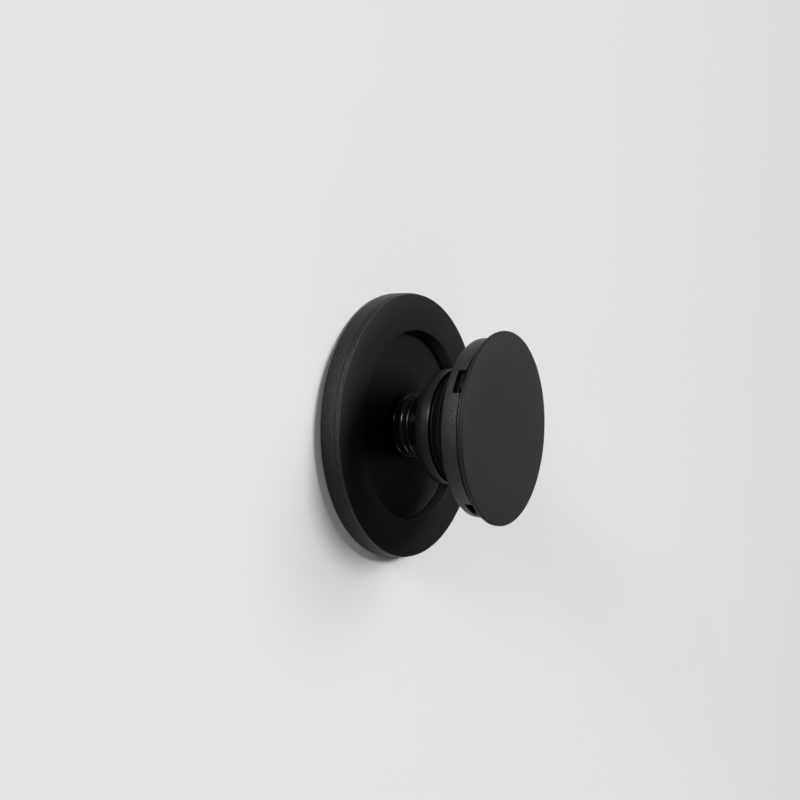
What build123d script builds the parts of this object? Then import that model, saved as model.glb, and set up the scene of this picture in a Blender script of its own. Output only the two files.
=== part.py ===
from build123d import *
import os

# Collapsible phone grip, shown pulled out. All sizes are in millimetres.
# The pad's contact face is z = 0 and the grip's axis is +Z.

# Whole grip, from the phone to the top of the button
pulled_out_height = 26.5

# Top plate and its snap hooks
plate_diameter = 40.0
plate_thickness = 0.9
plate_edge_round = 0.35
plate_under_round = 0.1
plate_overhang = 1.2
hook_count = 4
hook_width = 2.0
hook_thickness = 0.7
hook_length = 2.2
hook_nose = 1.0
hook_nose_height = 0.3
hook_clearance = 0.1
hook_root = 0.2

# Button collar
collar_height = 4.4
collar_draft = 0.175
collar_wall = 1.5
collar_edge_round = 0.25
window_width = 4.6
window_height = 1.9
window_bridge = 0.8
pocket_wall = 0.7
seat_thickness = 0.8
seat_grip = 1.6

# Accordion, from the foot up
soft_fit = 0.05
foot_thickness = 0.5
foot_grip = 1.8
foot_clearance = 0.1
neck_hole_diameter = 12.8
neck_wall = 1.15
neck_valley_step = 0.1
neck_shoulder = 0.7
rib_heights = (1.95, 1.4, 0.95)
rib_bulge_share = 0.44
rib_peak_share = 0.57
lower_web_share = 0.5
ring_diameter = 24.85
ring_height = 3.65
ring_wall = 1.6
ring_bevel_share = 0.44
ring_bevel_width = 0.55
ring_draft = 0.12
ring_edge_round = 0.2
hinge_depth = 0.75
hinge_height = 0.3
lower_cone_share = 0.24
step_share = 0.47
step_height = 0.6
upper_web_wall = 0.85
top_ring_height = 3.6
top_ring_shoulder = 1.7
top_ring_wall = 1.2
clamp_flange_thickness = 0.8
clamp_clearance = 0.1

# Base housing
base_height = 4.5
recess_gap = 2.0
recess_wall = 1.6
recess_floor_round = 0.5
floor_thickness = 1.1
face_wall = 1.0
housing_wall = 1.4
rim_bevel_width = 0.35
rim_bevel_height = 0.94
rim_face_round = 0.12
rim_back_round = 0.3

# Magnet ring
magnet_count = 16
magnet_width = 4.8
magnet_gap = 0.4
magnet_clearance = 0.2
yoke_thickness = 0.5

# Back cover and friction pad
cover_thickness = 0.6
cover_clearance = 0.1
pad_thickness = 0.6
pad_pocket_depth = 0.2
pad_border = 0.5
pad_clearance = 0.1
pad_edge_round = 0.15

# Radii of the button, from the plate inwards
plate_radius = plate_diameter / 2
collar_top_radius = plate_radius - plate_overhang
collar_radius = collar_top_radius - collar_draft
collar_bore_radius = collar_radius - collar_wall
hook_outer_radius = collar_bore_radius - hook_clearance
hook_inner_radius = hook_outer_radius - hook_thickness
slot_radius = hook_inner_radius - hook_clearance
clamp_pocket_radius = slot_radius - pocket_wall
clamp_radius = clamp_pocket_radius - clamp_clearance
seat_hole_radius = clamp_radius - seat_grip

# Radii of the accordion
neck_hole_radius = neck_hole_diameter / 2
neck_radius = neck_hole_radius - soft_fit
neck_bore_radius = neck_radius - neck_wall
foot_radius = neck_hole_radius + foot_grip
valley_radius = neck_hole_radius + neck_valley_step
ring_radius = ring_diameter / 2
ring_foot_radius = ring_radius - ring_bevel_width
ring_top_radius = ring_radius - ring_draft
ring_bore_radius = ring_radius - ring_wall
hinge_radius = ring_top_radius - hinge_depth
top_ring_radius = seat_hole_radius + top_ring_shoulder
top_ring_bore_radius = top_ring_radius - top_ring_wall
top_neck_radius = seat_hole_radius - soft_fit
top_bore_radius = top_neck_radius - top_ring_wall
step_radius = hinge_radius + (top_ring_radius - hinge_radius) * step_share

# Radii of the base, from the recess outwards
recess_radius = collar_top_radius + recess_gap
channel_inner_radius = recess_radius + recess_wall
magnet_inner_radius = channel_inner_radius + magnet_clearance
magnet_outer_radius = magnet_inner_radius + magnet_width
channel_outer_radius = magnet_outer_radius + magnet_clearance
base_radius = channel_outer_radius + housing_wall
cover_radius = channel_outer_radius - cover_clearance
pad_pocket_radius = cover_radius - pad_border
pad_radius = pad_pocket_radius - pad_clearance

# Heights, from the phone up
rim_back_z = pad_thickness - pad_pocket_depth
face_z = rim_back_z + base_height
cover_top_z = rim_back_z + cover_thickness
floor_z = cover_top_z + floor_thickness
foot_top_z = cover_top_z + foot_thickness
channel_top_z = face_z - face_wall
yoke_z = channel_top_z - yoke_thickness
plate_z = pulled_out_height - plate_thickness
seat_top_z = plate_z - clamp_flange_thickness
seat_z = seat_top_z - seat_thickness
top_ring_z = seat_z - top_ring_height
web_z = floor_z + sum(rib_heights)
fold_height = top_ring_z - web_z - ring_height - hinge_height - step_height
ring_z = web_z + fold_height * lower_web_share
ring_bevel_z = ring_z + ring_height * ring_bevel_share
ring_top_z = ring_z + ring_height
hinge_z = ring_top_z + hinge_height
step_z = hinge_z + fold_height * lower_cone_share
step_top_z = step_z + step_height
collar_z = plate_z - collar_height
window_top_z = plate_z - window_bridge
hook_catch_z = window_top_z - hook_clearance
hook_end_z = plate_z - hook_length

os.makedirs("parts", exist_ok=True)

# Soft pad that rests against the phone.
with BuildPart() as phone_pad:
    with BuildSketch(Plane.XY):
        Circle(pad_radius)
    extrude(amount=pad_thickness)
    fillet(phone_pad.edges().group_by(Axis.Z)[0], pad_edge_round)
phone_pad.part.label = "phone_pad"
export_step(phone_pad.part, "parts/phone_pad.step")

# Disc that closes the housing from behind and takes the pad in a shallow pocket.
with BuildPart() as back_cover:
    with BuildSketch(Plane.XY.offset(rim_back_z)):
        Circle(cover_radius)
    extrude(amount=cover_thickness)
    with BuildSketch(Plane.XY.offset(rim_back_z)):
        Circle(pad_pocket_radius)
    extrude(amount=pad_pocket_depth, mode=Mode.SUBTRACT)
back_cover.part.label = "back_cover"
export_step(back_cover.part, "parts/back_cover.step")

# Round housing with the recess for the button and the channel for the magnets.
with BuildPart() as base_shell:
    with BuildSketch(Plane.XZ):
        with BuildLine():
            Polyline(
                (neck_hole_radius, floor_z),
                (recess_radius, floor_z),
                (recess_radius, face_z),
                (base_radius - rim_bevel_width, face_z),
                (base_radius, face_z - rim_bevel_height),
                (base_radius, rim_back_z),
                (channel_outer_radius, rim_back_z),
                (channel_outer_radius, channel_top_z),
                (channel_inner_radius, channel_top_z),
                (channel_inner_radius, cover_top_z),
                (foot_radius + foot_clearance, cover_top_z),
                (foot_radius + foot_clearance, foot_top_z),
                (neck_hole_radius, foot_top_z),
                close=True,
            )
        make_face()
    revolve(axis=Axis.Z)
    face_edges = base_shell.edges().filter_by_position(Axis.Z, face_z, face_z)
    floor_edges = base_shell.edges().filter_by_position(Axis.Z, floor_z, floor_z)
    back_edges = base_shell.edges().filter_by_position(Axis.Z, rim_back_z, rim_back_z)
    fillet(face_edges, rim_face_round)
    fillet(floor_edges.sort_by(SortBy.RADIUS)[-1], recess_floor_round)
    fillet(back_edges.sort_by(SortBy.RADIUS)[-1], rim_back_round)
base_shell.part.label = "base_shell"
export_step(base_shell.part, "parts/base_shell.step")

# Arc magnets standing on the cover, parted by straight gaps.
with BuildPart() as ring_magnets:
    with BuildSketch(Plane.XY.offset(cover_top_z)):
        Circle(magnet_outer_radius)
        Circle(magnet_inner_radius, mode=Mode.SUBTRACT)
        with PolarLocations((channel_inner_radius + channel_outer_radius) / 2, magnet_count):
            Rectangle(channel_outer_radius - channel_inner_radius, magnet_gap, mode=Mode.SUBTRACT)
    extrude(amount=yoke_z - cover_top_z)
ring_magnets.part.label = "ring_magnets"
export_step(ring_magnets.part, "parts/ring_magnets.step")

# Steel ring that lies over the magnets, under the housing's face.
with BuildPart() as magnet_yoke:
    with BuildSketch(Plane.XY.offset(yoke_z)):
        Circle(magnet_outer_radius)
        Circle(magnet_inner_radius, mode=Mode.SUBTRACT)
    extrude(amount=yoke_thickness)
magnet_yoke.part.label = "magnet_yoke"
export_step(magnet_yoke.part, "parts/magnet_yoke.step")

# Soft accordion: a ribbed neck, a cone, the middle ring, a stepped cone and the top ring.
# Its foot grips the housing floor and its clamp flange lies between the collar and the plate.
with BuildPart() as accordion:
    with BuildSketch(Plane.XZ):
        with BuildLine():
            Polyline(
                (neck_bore_radius, cover_top_z),
                (foot_radius, cover_top_z),
                (foot_radius, foot_top_z),
                (neck_radius, foot_top_z),
                (neck_radius, floor_z),
                (valley_radius + neck_shoulder, floor_z),
            )
            rib_start = (valley_radius + neck_shoulder, floor_z)
            for rib_height in rib_heights:
                rib_bulge = rib_height * rib_bulge_share
                rib_peak = (valley_radius + rib_bulge, rib_start[1] + rib_height * rib_peak_share)
                rib_end = (valley_radius, rib_start[1] + rib_height)
                ThreePointArc(rib_start, rib_peak, rib_end)
                rib_start = rib_end
            Polyline(
                rib_start,
                (ring_foot_radius, ring_z),
                (ring_radius, ring_bevel_z),
                (ring_top_radius, ring_top_z),
                (hinge_radius, ring_top_z),
                (hinge_radius, hinge_z),
                (step_radius, step_z),
                (step_radius, step_top_z),
                (top_ring_radius, top_ring_z),
                (top_ring_radius, seat_z),
                (top_neck_radius, seat_z),
                (top_neck_radius, seat_top_z),
                (clamp_radius, seat_top_z),
                (clamp_radius, plate_z),
                (top_bore_radius, plate_z),
                (top_bore_radius, seat_z),
                (top_ring_bore_radius, seat_z - (top_ring_bore_radius - top_bore_radius)),
                (top_ring_bore_radius, top_ring_z),
                (step_radius - upper_web_wall, step_top_z),
                (step_radius - upper_web_wall, step_z),
                (ring_bore_radius, hinge_z),
                (ring_bore_radius, ring_z),
                (neck_bore_radius, web_z),
                (neck_bore_radius, cover_top_z),
            )
        make_face()
    revolve(axis=Axis.Z)
    ring_edges = accordion.edges().filter_by_position(Axis.Z, ring_top_z, ring_top_z)
    fillet(ring_edges.sort_by(SortBy.RADIUS)[-1], ring_edge_round)
accordion.part.label = "accordion"
export_step(accordion.part, "parts/accordion.step")

# Rim of the button: a cup with a stepped seat for the accordion and windows for the hooks.
with BuildPart() as button_collar:
    with BuildSketch(Plane.XZ):
        with BuildLine():
            Polyline(
                (collar_radius, collar_z),
                (collar_top_radius, plate_z),
                (clamp_pocket_radius, plate_z),
                (clamp_pocket_radius, seat_top_z),
                (seat_hole_radius, seat_top_z),
                (seat_hole_radius, seat_z),
                (collar_bore_radius, seat_z),
                (collar_bore_radius, collar_z),
                close=True,
            )
        make_face()
    revolve(axis=Axis.Z)
    fillet(button_collar.edges().filter_by_position(Axis.Z, collar_z, collar_z), collar_edge_round)
    with BuildSketch(Plane.XY.offset(window_top_z)):
        with PolarLocations(slot_radius, hook_count):
            Rectangle(plate_radius, window_width, align=(Align.MIN, Align.CENTER))
    extrude(amount=-window_height, mode=Mode.SUBTRACT)
    with BuildSketch(Plane.XY.offset(plate_z)):
        with PolarLocations(slot_radius, hook_count):
            Rectangle(
                collar_bore_radius - slot_radius,
                hook_width + 2 * hook_clearance,
                align=(Align.MIN, Align.CENTER),
            )
    extrude(amount=seat_z - plate_z, mode=Mode.SUBTRACT)
button_collar.part.label = "button_collar"
export_step(button_collar.part, "parts/button_collar.step")

# One snap hook, whose nose reaches into a window of the collar.
with BuildPart() as snap_hook:
    with BuildSketch(Plane.XZ):
        with BuildLine():
            Polyline(
                (hook_inner_radius, plate_z + hook_root),
                (hook_outer_radius, plate_z + hook_root),
                (hook_outer_radius, hook_catch_z),
                (hook_outer_radius + hook_nose, hook_catch_z),
                (hook_outer_radius + hook_nose, hook_catch_z - hook_nose_height),
                (hook_outer_radius, hook_end_z),
                (hook_inner_radius, hook_end_z),
                close=True,
            )
        make_face()
    extrude(amount=hook_width / 2, both=True)

# Thin plate that closes the button, with its hooks standing below.
with BuildPart() as top_plate:
    with BuildSketch(Plane.XY.offset(plate_z)):
        Circle(plate_radius)
    extrude(amount=plate_thickness)
    fillet(top_plate.edges().group_by(Axis.Z)[-1], plate_edge_round)
    fillet(top_plate.edges().group_by(Axis.Z)[0], plate_under_round)
    with PolarLocations(0, hook_count):
        add(snap_hook.part)
top_plate.part.label = "top_plate"
export_step(top_plate.part, "parts/top_plate.step")
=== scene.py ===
import math

import bmesh
import bpy
from mathutils import Matrix, Vector


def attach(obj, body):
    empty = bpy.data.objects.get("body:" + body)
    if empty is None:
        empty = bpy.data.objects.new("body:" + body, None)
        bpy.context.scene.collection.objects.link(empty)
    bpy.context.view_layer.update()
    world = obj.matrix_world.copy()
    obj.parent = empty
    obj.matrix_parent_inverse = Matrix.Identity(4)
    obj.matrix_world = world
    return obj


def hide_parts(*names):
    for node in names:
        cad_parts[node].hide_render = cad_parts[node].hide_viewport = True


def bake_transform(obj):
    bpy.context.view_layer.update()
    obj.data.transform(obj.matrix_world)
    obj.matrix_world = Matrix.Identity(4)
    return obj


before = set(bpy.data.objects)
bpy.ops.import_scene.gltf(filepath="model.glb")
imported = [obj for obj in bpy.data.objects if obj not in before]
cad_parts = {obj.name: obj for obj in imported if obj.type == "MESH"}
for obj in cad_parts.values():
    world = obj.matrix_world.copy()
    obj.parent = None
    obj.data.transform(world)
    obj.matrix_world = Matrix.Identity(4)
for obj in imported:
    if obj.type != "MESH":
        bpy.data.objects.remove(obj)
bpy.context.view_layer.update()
mm = 0.001
turnSteps = 180  # one step every two degrees, so a window is a whole number of steps
cornerSegments = 4  # faces across a rounded corner of an outline
edgeSegments = 3  # faces across a rounded edge of a window or hook
mergeDistance = 1e-7  # metres
smoothAngle = 35  # degrees, past which an edge stays sharp
noiseMiddle = 0.5  # what a noise swings about
blackTint = (1.0, 0.93, 1.0, 1)  # faint purple in the gloss of the black mouldings
print("frame loaded:", len(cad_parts), "nodes")


# Shader maths: one socket of a node tree, with operators that add Math nodes.
class Signal:
    def __init__(self, tree, socket=None):
        self.tree = tree
        self.socket = socket

    def node(self, kind, settings=None, sockets=None, output=0):
        made = self.tree.nodes.new(kind)
        for key, value in (settings or {}).items():
            setattr(made, key, value)
        for key, value in (sockets or {}).items():
            if isinstance(value, Signal):
                self.tree.links.new(value.socket, made.inputs[key])
            else:
                made.inputs[key].default_value = value
        return Signal(self.tree, made.outputs[output])

    def maths(self, operation, first, second=0.0, clamp=False):
        settings = {"operation": operation, "use_clamp": clamp}
        return self.node("ShaderNodeMath", settings, {0: first, 1: second})

    def __add__(self, other):
        return self.maths("ADD", self, other)

    def __sub__(self, other):
        return self.maths("SUBTRACT", self, other)

    def __rsub__(self, other):
        return self.maths("SUBTRACT", other, self)

    def __mul__(self, other):
        return self.maths("MULTIPLY", self, other)

    def __truediv__(self, other):
        return self.maths("DIVIDE", self, other)

    def __pow__(self, other):
        return self.maths("POWER", self, other)

    def __abs__(self):
        return self.maths("ABSOLUTE", self)

    __radd__ = __add__
    __rmul__ = __mul__

    def limited(self):
        return self.maths("ADD", self, 0.0, clamp=True)

    def within(self, centre, width):  # 1 at the centre, falling to 0 half a width away
        return (1 - abs(self - centre) / (width / 2)).limited()


def newMaterial(name):
    made = bpy.data.materials.new(name)
    made.use_nodes = True
    shader = made.node_tree.nodes["Principled BSDF"]
    start = Signal(made.node_tree)
    place = start.node("ShaderNodeTexCoord", output="Object")
    return made, shader, start, place


def plug(shader, name, value):
    shader.id_data.links.new(value.socket, shader.inputs[name])


def grain(start, place, size, detail, rough):  # noise whose bumps are about that many metres wide
    settings = {"noise_dimensions": "3D"}
    sockets = {"Vector": place, "Scale": 1 / size, "Detail": detail, "Roughness": rough}
    return start.node("ShaderNodeTexNoise", settings, sockets, "Fac")


def heightOf(start, place):
    return start.node("ShaderNodeSeparateXYZ", None, {"Vector": place}, "Z")


def radiusOf(start, place):  # distance from the axis, and height
    parts = start.node("ShaderNodeSeparateXYZ", None, {"Vector": place}, "X")
    across = parts.socket.node.outputs
    x, y, z = (Signal(start.tree, across[axis]) for axis in "XYZ")
    return (x * x + y * y) ** 0.5, z


def tint(start, factor, dark, light):  # a colour between two, each written out or coming from a node
    dark, light = (shade if isinstance(shade, Signal) else (*shade, 1) for shade in (dark, light))
    return start.node("ShaderNodeMix", {"data_type": "RGBA"}, {0: factor, 6: dark, 7: light}, 2)


def bumped(start, height, strength, distance):
    sockets = {"Height": height, "Strength": strength, "Distance": distance}
    return start.node("ShaderNodeBump", None, sockets)


# Spark-eroded grain of a moulding, with deeper pits on the walls
# and a little polish along the worn rings.
mouldedFinish = {
    "pitShare": 0.6,  # size of a pit against the grain
    "cloudSize": 0.009,  # metres across a cloudy patch
    "cloudShare": 0.5,
    "wallBlend": 0.1,  # millimetres over which a face turns into a wall
    "wallCover": (0.7, 0.6),  # even part of the wall's colour, and the part that follows the grain; on the plate that colour is painted shade
    "wornWidth": 0.9,  # millimetres across a worn ring
    "wornLeast": 0.4,
    "wornPolish": 0.1,
    "grainRoughness": 0.2,
    "cloudRoughness": 0.08,
    "grainRelief": 0.3,
    "bumpDistance": 0.0001,
}


def mouldedPlastic(name, look):
    finish = mouldedFinish
    made, shader, start, place = newMaterial(name)
    radius, height = radiusOf(start, place)
    fine = grain(start, place, look["grainSize"], detail=2, rough=0.6)
    pits = grain(start, place, look["grainSize"] * finish["pitShare"], detail=1, rough=0.5)
    cloudy = grain(start, place, finish["cloudSize"], detail=3, rough=0.55)
    wall = ((radius - look["wallRadius"] * mm) / (finish["wallBlend"] * mm)).limited()
    wornWidth = finish["wornWidth"] * mm
    worn = 0.0
    for wornRadius, wornHeight in look["wornRings"]:
        ring = radius.within(wornRadius * mm, wornWidth)
        worn = worn + ring * height.within(wornHeight * mm, wornWidth)
    worn = (worn * (finish["wornLeast"] + cloudy)).limited()
    share = finish["cloudShare"]
    mottled = (cloudy * share + fine * (1 - share)).limited()
    smooth = tint(start, mottled, look["dark"], look["light"])
    evenPart, grainPart = finish["wallCover"]
    covered = wall * (evenPart + fine * grainPart)
    # the walls turn to their own wall colour, which on the plate's side is painted shade, much darker
    # than its face
    plug(shader, "Base Color", tint(start, covered, smooth, look["wallColourAndPaintedShade"]))
    dull = look["roughness"] + wall * look["wallRoughness"]
    dull = dull + (fine - noiseMiddle) * finish["grainRoughness"]
    dull = dull + (cloudy - noiseMiddle) * finish["cloudRoughness"]
    plug(shader, "Roughness", dull - worn * finish["wornPolish"])
    relief = fine * finish["grainRelief"] + pits * (finish["grainRelief"] + wall * look["wallRelief"])
    plug(shader, "Normal", bumped(start, relief, look["relief"], finish["bumpDistance"]))
    shader.inputs["Specular IOR Level"].default_value = look["gloss"]
    shader.inputs["Specular Tint"].default_value = blackTint
    print("material", name)
    return made


# Soft moulding: a shiny neck with a duller last rib, a web painted darker as painted shade,
# a satin ring painted lighter as painted light, flow marks and dull fold lines.
softFinish = {
    "fineSize": 0.0004,  # sizes in metres
    "cloudSize": 0.004,
    "cloudShare": 0.4,
    "flowSize": 0.006,
    "flowStretch": (1, 1, 9),  # squashed along the axis, so the marks lie level
    "foldWidth": 0.5,  # millimetres
    "bandMargin": 0.4,  # millimetres
    "bandSlope": 8,
    "foldRoughness": 0.24,
    "ribRoughness": 0.12,
    "flowRoughness": 0.12,
    "fineRoughness": 0.08,
    "flowRelief": 0.2,
    "relief": 0.3,
    "bumpDistance": 0.00008,
}


def softMoulding(name, look):
    finish = softFinish
    made, shader, start, place = newMaterial(name)
    height = heightOf(start, place)
    fine = grain(start, place, finish["fineSize"], detail=2, rough=0.6)
    cloudy = grain(start, place, finish["cloudSize"], detail=2, rough=0.5)
    stretch = {"Vector": place, "Scale": finish["flowStretch"]}
    marks = start.node("ShaderNodeMapping", {"vector_type": "POINT"}, stretch)
    flow = grain(start, marks, finish["flowSize"], detail=2, rough=0.5)
    fold = 0.0
    for foldHeight in look["foldHeights"]:
        fold = fold + height.within(foldHeight * mm, finish["foldWidth"] * mm)
    fold = fold.limited()
    bands = []
    for low, top in (look["satinAndPaintedLightBand"], look["dullBand"], look["webPaintedShadeBand"]):
        band = height.within((low + top) / 2 * mm, (top - low + finish["bandMargin"]) * mm)
        bands.append((band * finish["bandSlope"]).limited())
    satinAndPaintedLight, rib, webPaintedShade = bands
    share = finish["cloudShare"]
    # the ring is painted lighter than the rest of the accordion: painted light; its satin finish is the
    # extra roughness
    mottled = (satinAndPaintedLight * (1 - share) + cloudy * share).limited()
    skin = tint(start, mottled, look["dark"], look["light"])
    # the web between neck and ring is painted near black: painted shade
    plug(shader, "Base Color", tint(start, webPaintedShade, skin, look["webPaintedShadeColour"]))
    dull = look["roughness"] + satinAndPaintedLight * look["satinRoughness"]
    dull = dull + fold * finish["foldRoughness"] + rib * finish["ribRoughness"]
    dull = dull + (flow - noiseMiddle) * finish["flowRoughness"]
    dull = dull + (fine - noiseMiddle) * finish["fineRoughness"]
    plug(shader, "Roughness", dull)
    relief = flow * finish["flowRelief"] + fine * satinAndPaintedLight
    plug(shader, "Normal", bumped(start, relief, finish["relief"], finish["bumpDistance"]))
    shader.inputs["Specular IOR Level"].default_value = look["gloss"]
    shader.inputs["Specular Tint"].default_value = blackTint
    print("material", name)
    return made


# Brushed sheet or plating: fine lines that run round the axis.
metalFinish = {
    "lineSize": 0.0002,  # sizes in metres
    "cloudSize": 0.005,
    "cloudShare": 0.4,
    "lineRoughness": 0.2,
    "cloudRoughness": 0.1,
    "relief": 0.1,
    "bumpDistance": 0.00003,
}


def turnedMetal(name, look):
    finish = metalFinish
    made, shader, start, place = newMaterial(name)
    radius, height = radiusOf(start, place)
    line = start.node("ShaderNodeCombineXYZ", None, {"X": radius, "Y": height})
    brushed = grain(start, line, finish["lineSize"], detail=3, rough=0.6)
    cloudy = grain(start, place, finish["cloudSize"], detail=3, rough=0.5)
    share = finish["cloudShare"]
    mottled = (brushed * (1 - share) + cloudy * share).limited()
    plug(shader, "Base Color", tint(start, mottled, look["dark"], look["light"]))
    dull = look["roughness"] + (brushed - noiseMiddle) * finish["lineRoughness"]
    plug(shader, "Roughness", dull + (cloudy - noiseMiddle) * finish["cloudRoughness"])
    plug(shader, "Normal", bumped(start, brushed, finish["relief"], finish["bumpDistance"]))
    shader.inputs["Metallic"].default_value = 1.0
    print("material", name)
    return made


# Modelling: an outline of (radius, height, round) in millimetres, turned about the axis.
# It is closed, or open with both ends on the axis.
def deselectAll():
    if bpy.context.mode != "OBJECT":
        bpy.ops.object.mode_set(mode="OBJECT")
    bpy.ops.object.select_all(action="DESELECT")


def selectVertexAt(piece, radius, height):
    bpy.ops.mesh.select_all(action="DESELECT")
    mesh = bmesh.from_edit_mesh(piece.data)
    target = Vector((radius * mm, 0, height * mm))
    nearest = min(mesh.verts, key=lambda vertex: (vertex.co - target).length)
    nearest.select_set(True)
    mesh.select_flush_mode()
    bmesh.update_edit_mesh(piece.data)


def selectFaces(piece, test):
    bpy.ops.mesh.select_mode(type="FACE")
    bpy.ops.mesh.select_all(action="DESELECT")
    mesh = bmesh.from_edit_mesh(piece.data)
    for face in mesh.faces:
        face.select_set(test(face))
    mesh.select_flush_mode()
    bmesh.update_edit_mesh(piece.data)


def selectEdges(piece, test):
    bpy.ops.mesh.select_mode(type="EDGE")
    bpy.ops.mesh.select_all(action="DESELECT")
    mesh = bmesh.from_edit_mesh(piece.data)
    for edge in mesh.edges:
        edge.select_set(test(edge))
    mesh.select_flush_mode()
    bmesh.update_edit_mesh(piece.data)


def turnOutline(name, outline, closed=True):
    deselectAll()
    radius, height, _ = outline[0]
    bpy.ops.mesh.primitive_plane_add(size=mm, location=(radius * mm, 0, height * mm))
    piece = bpy.context.object
    piece.name = piece.data.name = name
    bpy.ops.object.transform_apply(location=True, rotation=True, scale=True)
    bpy.ops.object.mode_set(mode="EDIT")
    bpy.ops.mesh.select_mode(type="VERT")
    bpy.ops.mesh.select_all(action="SELECT")
    bpy.ops.mesh.merge(type="CENTER")
    path = outline + outline[:1] if closed else outline
    for here, there in zip(path, path[1:]):
        step = ((there[0] - here[0]) * mm, 0, (there[1] - here[1]) * mm)
        bpy.ops.mesh.extrude_vertices_move(TRANSFORM_OT_translate={"value": step})
    bpy.ops.mesh.select_all(action="SELECT")
    bpy.ops.mesh.remove_doubles(threshold=mergeDistance)
    for radius, height, rounding in outline:
        if rounding:
            selectVertexAt(piece, radius, height)
            bpy.ops.mesh.bevel(offset=rounding * mm, segments=cornerSegments, affect="VERTICES")
    bpy.ops.mesh.select_all(action="SELECT")
    bpy.ops.mesh.spin(steps=turnSteps, angle=2 * math.pi, center=(0, 0, 0), axis=(0, 0, 1))
    bpy.ops.mesh.select_all(action="SELECT")
    bpy.ops.mesh.remove_doubles(threshold=mergeDistance)
    bpy.ops.mesh.normals_make_consistent(inside=False)
    bpy.ops.object.mode_set(mode="OBJECT")
    return piece


def finishPiece(piece, material, body, node):
    deselectAll()
    piece.select_set(True)
    bpy.context.view_layer.objects.active = piece
    bpy.ops.object.mode_set(mode="EDIT")
    bpy.ops.mesh.select_all(action="SELECT")
    bpy.ops.mesh.remove_doubles(threshold=mergeDistance)
    bpy.ops.mesh.normals_make_consistent(inside=False)
    bpy.ops.object.mode_set(mode="OBJECT")
    bpy.ops.object.shade_smooth_by_angle(angle=math.radians(smoothAngle))
    piece.data.materials.clear()
    piece.data.materials.append(material)
    if body:
        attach(piece, body)
    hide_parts(node)
    print("piece", piece.name, len(piece.data.polygons), "faces")


def arcThrough(start, peak, end, count):
    # points of the circle through three places of the outline, without its first one
    ax, ay, bx, by, cx, cy = *start, *peak, *end
    twice = 2 * (ax * (by - cy) + bx * (cy - ay) + cx * (ay - by))
    a2, b2, c2 = ax * ax + ay * ay, bx * bx + by * by, cx * cx + cy * cy
    centreX = (a2 * (by - cy) + b2 * (cy - ay) + c2 * (ay - by)) / twice
    centreY = (a2 * (cx - bx) + b2 * (ax - cx) + c2 * (bx - ax)) / twice
    size = math.hypot(ax - centreX, ay - centreY)
    first = math.atan2(ay - centreY, ax - centreX)
    last = math.atan2(cy - centreY, cx - centreX)
    angles = [first + (last - first) * step / count for step in range(1, count + 1)]
    return [(centreX + size * math.cos(angle), centreY + size * math.sin(angle), 0) for angle in angles]


# Base housing
baseShell = {
    "radius": 29.0,
    "backHeight": 0.4,
    "faceHeight": 4.9,
    "bevelWidth": 0.35,
    "bevelHeight": 0.94,
    "partingDepth": 0.1,
    "wallDraft": 0.1,
    "recessRadius": 20.8,
    "floorHeight": 2.1,
    "neckHole": 6.4,
    "partingHalfWidth": 0.09,
    "channelRadii": (22.4, 27.6),
    "channelTop": 3.9,
    "coverTop": 1.0,
    "footPocket": (8.3, 1.5),
    "holeRound": 0.12,
    "recessFootRound": 0.14,
    "recessLipRound": 0.1,
    "faceRound": 0.12,
    "partingRound": 0.03,
    "backRound": 0.3,
    "channelRound": 0.1,
    "look": {
        "dark": (0.00525, 0.0045, 0.00525),
        "light": (0.00875, 0.0077, 0.00875),
        "roughness": 0.44,
        "gloss": 0.2,
        "grainSize": 0.0003,
        "relief": 0.6,
        "wallRadius": 28.6,
        "wallColourAndPaintedShade": (0.00484, 0.004356, 0.00484),
        "wallRoughness": -0.04,
        "wallRelief": 2.0,
        "wornRings": [(28.7, 4.85), (20.85, 4.85)],
    },
}


def makeBaseShell(size):
    bevelFoot = size["faceHeight"] - size["bevelHeight"]
    wallTop = size["radius"] - size["wallDraft"]
    partingHalf = size["partingHalfWidth"]
    channelInner, channelOuter = size["channelRadii"]
    pocketRadius, pocketTop = size["footPocket"]
    outline = [
        (size["neckHole"], size["floorHeight"], size["holeRound"]),
        (size["recessRadius"], size["floorHeight"], size["recessFootRound"]),
        (size["recessRadius"], size["faceHeight"], size["recessLipRound"]),
        (size["radius"] - size["bevelWidth"], size["faceHeight"], size["faceRound"]),
        (wallTop, bevelFoot, size["partingRound"]),
        (wallTop - size["partingDepth"], bevelFoot - partingHalf, 0),
        (wallTop, bevelFoot - 2 * partingHalf, size["partingRound"]),
        (size["radius"], size["backHeight"], size["backRound"]),
        (channelOuter, size["backHeight"], size["channelRound"]),
        (channelOuter, size["channelTop"], 0),
        (channelInner, size["channelTop"], 0),
        (channelInner, size["coverTop"], 0),
        (pocketRadius, size["coverTop"], 0),
        (pocketRadius, pocketTop, 0),
        (size["neckHole"], pocketTop, 0),
    ]
    return turnOutline("BaseShell", outline)


basePlastic = mouldedPlastic("BaseGrainedPlastic", baseShell["look"])
finishPiece(makeBaseShell(baseShell), basePlastic, "base", "base_shell")

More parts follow.
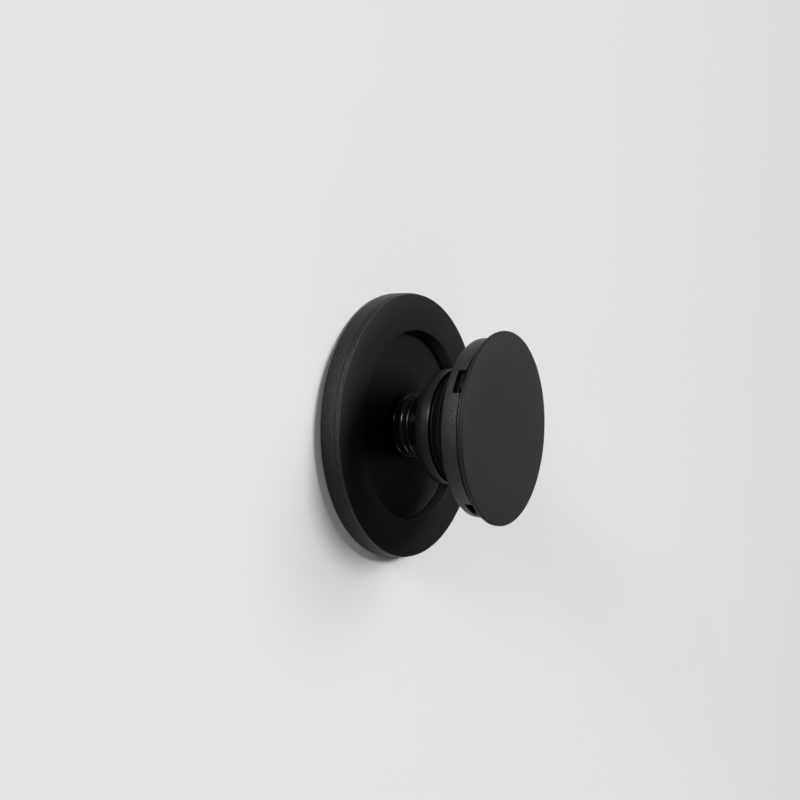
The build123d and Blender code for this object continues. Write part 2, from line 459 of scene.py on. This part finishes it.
# Folding accordion
accordion = {
    "footHeights": (1.0, 1.5),
    "footRadius": 8.2,
    "footRound": 0.1,
    "holeRadius": 6.35,
    "shoulderRadius": 7.2,
    "neckRadius": 6.5,
    "neckHeights": (2.1, 4.05, 5.55, 6.75),
    "ribBulges": (0.86, 0.62, 0.42),
    "ribPeak": 0.57,  # share of a rib's height at which it is widest
    "ribSteps": 12,
    "ringFoot": (12.05, 11.55),
    "ringFootRound": 0.06,
    "ringBulge": (12.425, 12.731),
    "ringBulgeRound": 0.3,
    "ringTop": (12.305, 14.775),
    "ringTopRound": 0.1,
    "hinge": (11.555, 15.075),
    "stepRadius": 13.421,
    "stepHeights": (17.343, 17.943),
    "stepRound": 0.28,
    "topRing": (15.525, 20.4),
    "topRingRound": 0.3,
    "clampHeights": (24.0, 24.8, 25.6),
    "clampNeck": 13.775,
    "clampRadius": 15.425,
    "topBore": 12.575,
    "topRingBore": (14.325, 22.25),
    "stepBore": 12.571,
    "ringBore": (10.825, 11.125),
    "neckBore": (5.2, 6.4),
    "foldStart": 2.3,
    "foldEnd": 23.9,
    "look": {
        "dark": (0.0022, 0.00198, 0.0022),
        "light": (0.00484, 0.0044, 0.00484),
        "roughness": 0.22,
        "satinRoughness": 0.14,
        # the ring band: rougher, and painted lighter as painted light
        "satinAndPaintedLightBand": (11.7, 14.4),
        "dullBand": (5.6, 6.7),
        "webPaintedShadeBand": (5.7, 11.5),  # takes in the last rib; the web is painted darker here as painted shade
        # painted shade: the colour of the web, darker than the rest of the accordion
        "webPaintedShadeColour": (0.0011, 0.00099, 0.0011),
        "gloss": 0.14,
        "foldHeights": [4.05, 5.55, 15.0, 17.4],
    },
}


def makeAccordion(size):
    footLow, footTop = size["footHeights"]
    neckBore, neckBoreTop = size["neckBore"]
    neckLow = size["neckHeights"][0]
    outline = [
        (neckBore, footLow, 0),
        (size["footRadius"], footLow, size["footRound"]),
        (size["footRadius"], footTop, size["footRound"]),
        (size["holeRadius"], footTop, 0),
        (size["holeRadius"], neckLow, 0),
        (size["shoulderRadius"], neckLow, 0),
    ]
    for low, high, bulge in zip(size["neckHeights"], size["neckHeights"][1:], size["ribBulges"]):
        peak = (size["neckRadius"] + bulge, low + (high - low) * size["ribPeak"])
        outline += arcThrough(outline[-1][:2], peak, (size["neckRadius"], high), size["ribSteps"])
    stepLow, stepTop = size["stepHeights"]
    topRadius, topRingLow = size["topRing"]
    clampLow, clampMiddle, clampTop = size["clampHeights"]
    topRingBore, slopeHeight = size["topRingBore"]
    ringBore, ringBoreLow = size["ringBore"]
    hingeRadius, hingeHeight = size["hinge"]
    outline += [
        (*size["ringFoot"], size["ringFootRound"]),
        (*size["ringBulge"], size["ringBulgeRound"]),
        (*size["ringTop"], size["ringTopRound"]),
        (hingeRadius, size["ringTop"][1], 0),
        (hingeRadius, hingeHeight, 0),
        (size["stepRadius"], stepLow, size["stepRound"]),
        (size["stepRadius"], stepTop, size["stepRound"]),
        (topRadius, topRingLow, size["topRingRound"]),
        (topRadius, clampLow, 0),
        (size["clampNeck"], clampLow, 0),
        (size["clampNeck"], clampMiddle, 0),
        (size["clampRadius"], clampMiddle, 0),
        (size["clampRadius"], clampTop, 0),
        (size["topBore"], clampTop, 0),
        (size["topBore"], clampLow, 0),
        (topRingBore, slopeHeight, 0),
        (topRingBore, topRingLow, 0),
        (size["stepBore"], stepTop, 0),
        (size["stepBore"], stepLow, 0),
        (ringBore, hingeHeight, 0),
        (ringBore, ringBoreLow, 0),
        (neckBore, neckBoreTop, 0),
    ]
    return turnOutline("Accordion", outline)


softBlack = softMoulding("AccordionGlossySoft", accordion["look"])
accordionPiece = makeAccordion(accordion)
finishPiece(accordionPiece, softBlack, None, "accordion")
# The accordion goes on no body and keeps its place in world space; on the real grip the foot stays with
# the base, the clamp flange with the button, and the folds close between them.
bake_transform(accordionPiece)

# Button collar with its four windows
buttonCollar = {
    "lowRadius": 18.625,
    "topRadius": 18.8,
    "lowHeight": 21.2,
    "topHeight": 25.6,
    "boreRadius": 17.125,
    "windowLow": 22.9,
    "windowTop": 24.62,
    "windowHalfAngle": 8.0,
    "shadowGap": 0.36,
    "windowAngles": (0, 90, 180, 270),
    "edgeRound": 0.08,
    "rimAngle": 1.0,  # radians between two faces, past which an edge is rounded
    "rimSlack": 0.01,
    "lowRound": 0.22,
    "gapRound": 0.05,
    "clampPocket": 15.525,
    "seatHole": 13.825,
    "seatHeights": (24.0, 24.8),
    "slotRadius": 16.2,
    "slotTop": 24.9,
    "look": {
        "dark": (0.0045, 0.0041, 0.0045),
        "light": (0.0075, 0.0069, 0.0075),
        "roughness": 0.38,
        "gloss": 0.25,
        "grainSize": 0.0003,
        "relief": 0.6,
        "wallRadius": 18.45,
        "wallColourAndPaintedShade": (0.00528, 0.00462, 0.00528),
        "wallRoughness": 0.0,
        "wallRelief": 1.8,
        "wornRings": [(18.6, 21.3)],
    },
}


def windowAngle(point, angles):  # degrees from the nearest window's middle
    own = math.degrees(math.atan2(point.y, point.x))
    return min(abs((own - angle + 180) % 360 - 180) for angle in angles)


def makeButtonCollar(size):
    def outerRadius(height):
        share = (height - size["lowHeight"]) / (size["topHeight"] - size["lowHeight"])
        return size["lowRadius"] + (size["topRadius"] - size["lowRadius"]) * share

    low, top = size["windowLow"], size["windowTop"]
    gapRadius = outerRadius(top) - size["shadowGap"]
    seatLow, seatTop = size["seatHeights"]
    outline = [
        (size["lowRadius"], size["lowHeight"], size["lowRound"]),
        (outerRadius(low), low, 0),
        (outerRadius(top), top, size["gapRound"]),
        (gapRadius, top, size["gapRound"]),
        (gapRadius, size["topHeight"], 0),
        (size["clampPocket"], size["topHeight"], 0),
        (size["clampPocket"], seatTop, 0),
        (size["seatHole"], seatTop, 0),
        (size["seatHole"], seatLow, 0),
        (size["slotRadius"], seatLow, 0),
        (size["slotRadius"], size["slotTop"], 0),
        (size["boreRadius"], size["slotTop"], 0),
        (size["boreRadius"], top, 0),
        (size["boreRadius"], low, 0),
        (size["boreRadius"], size["lowHeight"], size["lowRound"]),
    ]
    piece = turnOutline("ButtonCollar", outline)
    bpy.ops.object.mode_set(mode="EDIT")

    wallInside = (size["boreRadius"] - 0.1) * mm  # just inside the bore, so both wall faces count
    rimInside = (size["boreRadius"] + 0.5) * mm  # past the bore, so only the outer rim counts

    def inWindow(face):
        middle = face.calc_center_median()
        onWall = math.hypot(middle.x, middle.y) > wallInside
        inHeight = low * mm < middle.z < top * mm
        inAngle = windowAngle(middle, size["windowAngles"]) < size["windowHalfAngle"]
        return onWall and inHeight and inAngle

    selectFaces(piece, inWindow)
    bpy.ops.mesh.delete(type="FACE")
    reach = size["windowHalfAngle"] + 1  # one degree past the window's side
    for angle in size["windowAngles"]:
        selectEdges(
            piece,
            lambda edge: edge.is_boundary
            and all(windowAngle(vertex.co, [angle]) < reach for vertex in edge.verts),
        )
        bpy.ops.mesh.bridge_edge_loops()

    def windowRim(edge):
        outside = all(math.hypot(vertex.co.x, vertex.co.y) > rimInside for vertex in edge.verts)
        sharp = edge.calc_face_angle(0) > size["rimAngle"]
        lowest, highest = (low - size["rimSlack"]) * mm, (top + size["rimSlack"]) * mm
        inHeight = all(lowest < vertex.co.z < highest for vertex in edge.verts)
        return outside and sharp and inHeight

    selectEdges(piece, windowRim)
    bpy.ops.mesh.bevel(offset=size["edgeRound"] * mm, segments=edgeSegments, affect="EDGES")
    bpy.ops.mesh.select_all(action="SELECT")
    bpy.ops.mesh.normals_make_consistent(inside=False)
    bpy.ops.object.mode_set(mode="OBJECT")
    return piece


collarPlastic = mouldedPlastic("CollarGrainedPlastic", buttonCollar["look"])
finishPiece(makeButtonCollar(buttonCollar), collarPlastic, "button", "button_collar")

# Top plate with its snap hooks
topPlate = {
    "radius": 20.0,
    "underHeight": 25.6,
    "topHeight": 26.5,
    "topRound": 0.2,
    "underRound": 0.34,
    "hookRadius": (16.325, 17.025),
    "hookHeights": (23.4, 25.8),
    "hookNose": 0.75,
    "hookCatch": 24.6,
    "hookWidth": 1.6,
    "hookNoseHeight": 0.3,
    "hookRound": 0.14,
    "hookEdgeAngle": 0.5,  # radians, as for the window rims
    "hookAngles": (0, 90, 180, 270),
    "flatRadius": 12.0,  # one more ring of vertices on the flat faces
    "look": {
        "dark": (0.0235, 0.0212, 0.0235),
        "light": (0.0285, 0.0258, 0.0285),
        "roughness": 0.5,
        "gloss": 0.2,
        "grainSize": 0.0002,
        "relief": 0.3,
        "wallRadius": 19.75,
        # painted shade: the plate's side is painted far darker than its face, to stand for the shade
        # there
        "wallColourAndPaintedShade": (0.003, 0.0027, 0.003),
        "wallRoughness": 0.08,
        "wallRelief": 0.6,
        "wornRings": [(19.85, 26.4)],
    },
}


def makeSnapHook(size):
    deselectAll()
    inner, outer = size["hookRadius"]
    low, high = size["hookHeights"]
    middle = ((inner + outer) / 2 * mm, 0, (low + high) / 2 * mm)
    bpy.ops.mesh.primitive_cube_add(size=1, location=middle)
    hook = bpy.context.object
    hook.dimensions = ((outer - inner) * mm, size["hookWidth"] * mm, (high - low) * mm)
    bpy.ops.object.transform_apply(location=True, rotation=True, scale=True)
    bpy.ops.object.mode_set(mode="EDIT")
    bpy.ops.mesh.select_all(action="SELECT")
    catch = size["hookCatch"] * mm
    bpy.ops.mesh.bisect(plane_co=(0, 0, catch), plane_no=(0, 0, 1))
    # the outward face below the catch becomes the nose
    selectFaces(hook, lambda face: face.normal.x > 0.9 and face.calc_center_median().z < catch)
    bpy.ops.mesh.extrude_region_move(TRANSFORM_OT_translate={"value": (size["hookNose"] * mm, 0, 0)})
    # the nose's lower corner is lifted into a ramp
    bpy.ops.mesh.select_mode(type="VERT")
    bpy.ops.mesh.select_all(action="DESELECT")
    mesh = bmesh.from_edit_mesh(hook.data)
    noseStart, noseFoot = (outer + 0.5) * mm, (low + 0.1) * mm  # between the nose's corners
    for vertex in mesh.verts:
        vertex.select_set(vertex.co.x > noseStart and vertex.co.z < noseFoot)
    mesh.select_flush_mode()
    bmesh.update_edit_mesh(hook.data)
    lift = size["hookCatch"] - size["hookNoseHeight"] - low
    bpy.ops.transform.translate(value=(0, 0, lift * mm))
    selectEdges(hook, lambda edge: edge.calc_face_angle(0) > size["hookEdgeAngle"])
    bpy.ops.mesh.bevel(offset=size["hookRound"] * mm, segments=edgeSegments, affect="EDGES")
    bpy.ops.object.mode_set(mode="OBJECT")
    return hook


def makeTopPlate(size):
    outline = [
        (0, size["underHeight"], 0),
        (size["flatRadius"], size["underHeight"], 0),
        (size["radius"], size["underHeight"], size["underRound"]),
        (size["radius"], size["topHeight"], size["topRound"]),
        (size["flatRadius"], size["topHeight"], 0),
        (0, size["topHeight"], 0),
    ]
    plate = turnOutline("TopPlate", outline, closed=False)
    hook = makeSnapHook(size)
    copies = [hook]
    for angle in size["hookAngles"][1:]:
        copy = hook.copy()
        copy.data = hook.data.copy()
        bpy.context.collection.objects.link(copy)
        copy.data.transform(Matrix.Rotation(math.radians(angle), 4, "Z"))
        copies.append(copy)
    deselectAll()
    for copy in copies:
        copy.select_set(True)
    plate.select_set(True)
    bpy.context.view_layer.objects.active = plate
    bpy.ops.object.join()
    return plate


platePlastic = mouldedPlastic("PlateSatinPlastic", topPlate["look"])
finishPiece(makeTopPlate(topPlate), platePlastic, "button", "top_plate")

# Friction pad on the back
phonePad = {
    "radius": 26.9,
    "thickness": 0.6,
    "edgeRound": 0.15,
    "upperRound": 0.05,
    "look": {
        "dark": (0.012, 0.012, 0.0125),
        "light": (0.019, 0.019, 0.0195),
        "roughness": 0.72,
        "gloss": 0.35,
        "grainSize": 0.0002,
        "relief": 0.4,
        "wallRadius": 26.8,
        "wallColourAndPaintedShade": (0.019, 0.019, 0.0195),
        "wallRoughness": 0.05,
        "wallRelief": 0.3,
        "wornRings": [(26.8, 0.1)],
    },
}


def makePhonePad(size):
    outline = [
        (0, 0, 0),
        (size["radius"], 0, size["edgeRound"]),
        (size["radius"], size["thickness"], size["upperRound"]),
        (0, size["thickness"], 0),
    ]
    return turnOutline("PhonePad", outline, closed=False)


padRubber = mouldedPlastic("PadTackyRubber", phonePad["look"])
finishPiece(makePhonePad(phonePad), padRubber, "base", "phone_pad")

# Carried-over CAD nodes
coverLook = dict(baseShell["look"], roughness=0.58, wornRings=[(27.4, 0.4)])
metalLooks = {
    "ring_magnets": {"dark": (0.55, 0.54, 0.52), "light": (0.72, 0.71, 0.69), "roughness": 0.24},
    "magnet_yoke": {"dark": (0.42, 0.42, 0.43), "light": (0.58, 0.58, 0.59), "roughness": 0.42},
}
dressed = {
    "back_cover": mouldedPlastic("CoverGrainedPlastic", coverLook),
    "ring_magnets": turnedMetal("MagnetPlating", metalLooks["ring_magnets"]),
    "magnet_yoke": turnedMetal("YokeSheet", metalLooks["magnet_yoke"]),
}
for nodeName, material in dressed.items():
    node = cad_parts[nodeName]
    node.data.materials.clear()
    node.data.materials.append(material)
print("CAD nodes dressed:", len(dressed))

# Floor, light and camera
stage = {
    "floorColour": (0.86, 0.86, 0.86),
    "floorSize": 20,  # metres
    "floorHeight": -0.00002,  # just under the pad
    "floorPatch": 0.05,  # metres
    "floorShade": 0.985,
    "floorRoughness": 0.9,
    "floorGloss": 0.1,
    "worldStrength": 0.06,
    "horizonStrength": 0.7,
    "horizonReach": 0.4,
    "horizonFade": 2,
    "cameraPlace": (71.108, -134.013, 96.274),
    "cameraTurn": (-1.7265, -57.6213, 122.0449),
    "cameraLens": 36.21,
    "cameraSensor": 36,
    "cameraClip": (0.005, 50),
}
lamps = {
    "KeyLamp": {"kind": "SUN", "towards": (-0.435, 0.129, 0.891), "spread": 14, "power": 2.0},
    "TopLamp": {"kind": "SUN", "towards": (-0.699, 0.168, 0.695), "spread": 26, "power": 0.7},
    "LowLamp": {
        "kind": "AREA",
        "place": (0.172, -1.792, 0.088),
        "aim": (0, 0, 0.012),
        "size": (0.44, 0.16),
        "power": 40.0,
    },
    "RibLamp": {
        "kind": "AREA",
        "place": (0.085, -0.88, 0.17),
        "aim": (0, 0, 0.004),
        "size": (0.1, 0.1),
        "power": 1.0,
    },
    "FillLamp": {
        "kind": "AREA",
        "place": (0.74, 0.34, 0.07),
        "aim": (0, 0, 0.012),
        "size": (0.3, 0.12),
        "power": 1.4,
    },
}


def makeFloor(size):
    deselectAll()
    bpy.ops.mesh.primitive_plane_add(size=size["floorSize"], location=(0, 0, size["floorHeight"]))
    floor = bpy.context.object
    floor.name = "Floor"
    made, shader, start, place = newMaterial("FloorPale")
    soft = grain(start, place, size["floorPatch"], detail=2, rough=0.5)
    colour = size["floorColour"]
    shaded = tuple(size["floorShade"] * part for part in colour)
    plug(shader, "Base Color", tint(start, soft, shaded, colour))
    shader.inputs["Roughness"].default_value = size["floorRoughness"]
    shader.inputs["Specular IOR Level"].default_value = size["floorGloss"]
    floor.data.materials.append(made)


def makeLamp(name, lamp):
    data = bpy.data.lights.new(name, lamp["kind"])
    data.energy = lamp["power"]
    made = bpy.data.objects.new(name, data)
    made.visible_camera = False
    bpy.context.scene.collection.objects.link(made)
    if lamp["kind"] == "SUN":
        data.angle = math.radians(lamp["spread"])
        made.location = Vector(lamp["towards"])
        aim = Vector()
    else:
        data.shape = "RECTANGLE"
        data.size, data.size_y = lamp["size"]
        made.location = Vector(lamp["place"])
        aim = Vector(lamp["aim"])
    made.rotation_euler = (made.location - aim).to_track_quat("Z", "Y").to_euler()


makeFloor(stage)
for lampName, lamp in lamps.items():
    makeLamp(lampName, lamp)

scene = bpy.context.scene
world = bpy.data.worlds.new("SoftStudio")
world.use_nodes = True
background = world.node_tree.nodes["Background"]
background.inputs["Color"].default_value = (1, 1, 1, 1)
# the backdrop is pale near the horizon and dim far from it
skyStart = Signal(world.node_tree)
direction = skyStart.node("ShaderNodeTexCoord", output="Generated")
rise = heightOf(skyStart, direction)
horizon = (1 - abs(rise) / stage["horizonReach"]).limited() ** stage["horizonFade"]
plug(background, "Strength", stage["worldStrength"] + horizon * stage["horizonStrength"])
scene.world = world
scene.view_settings.view_transform = "Standard"

cameraData = bpy.data.cameras.new("Camera")
cameraData.sensor_width = stage["cameraSensor"]
cameraData.lens = stage["cameraLens"]
cameraData.clip_start, cameraData.clip_end = stage["cameraClip"]
camera = bpy.data.objects.new("Camera", cameraData)
scene.collection.objects.link(camera)
camera.location = Vector(stage["cameraPlace"]) * mm
camera.rotation_euler = [math.radians(angle) for angle in stage["cameraTurn"]]
scene.camera = camera
print("stage set")
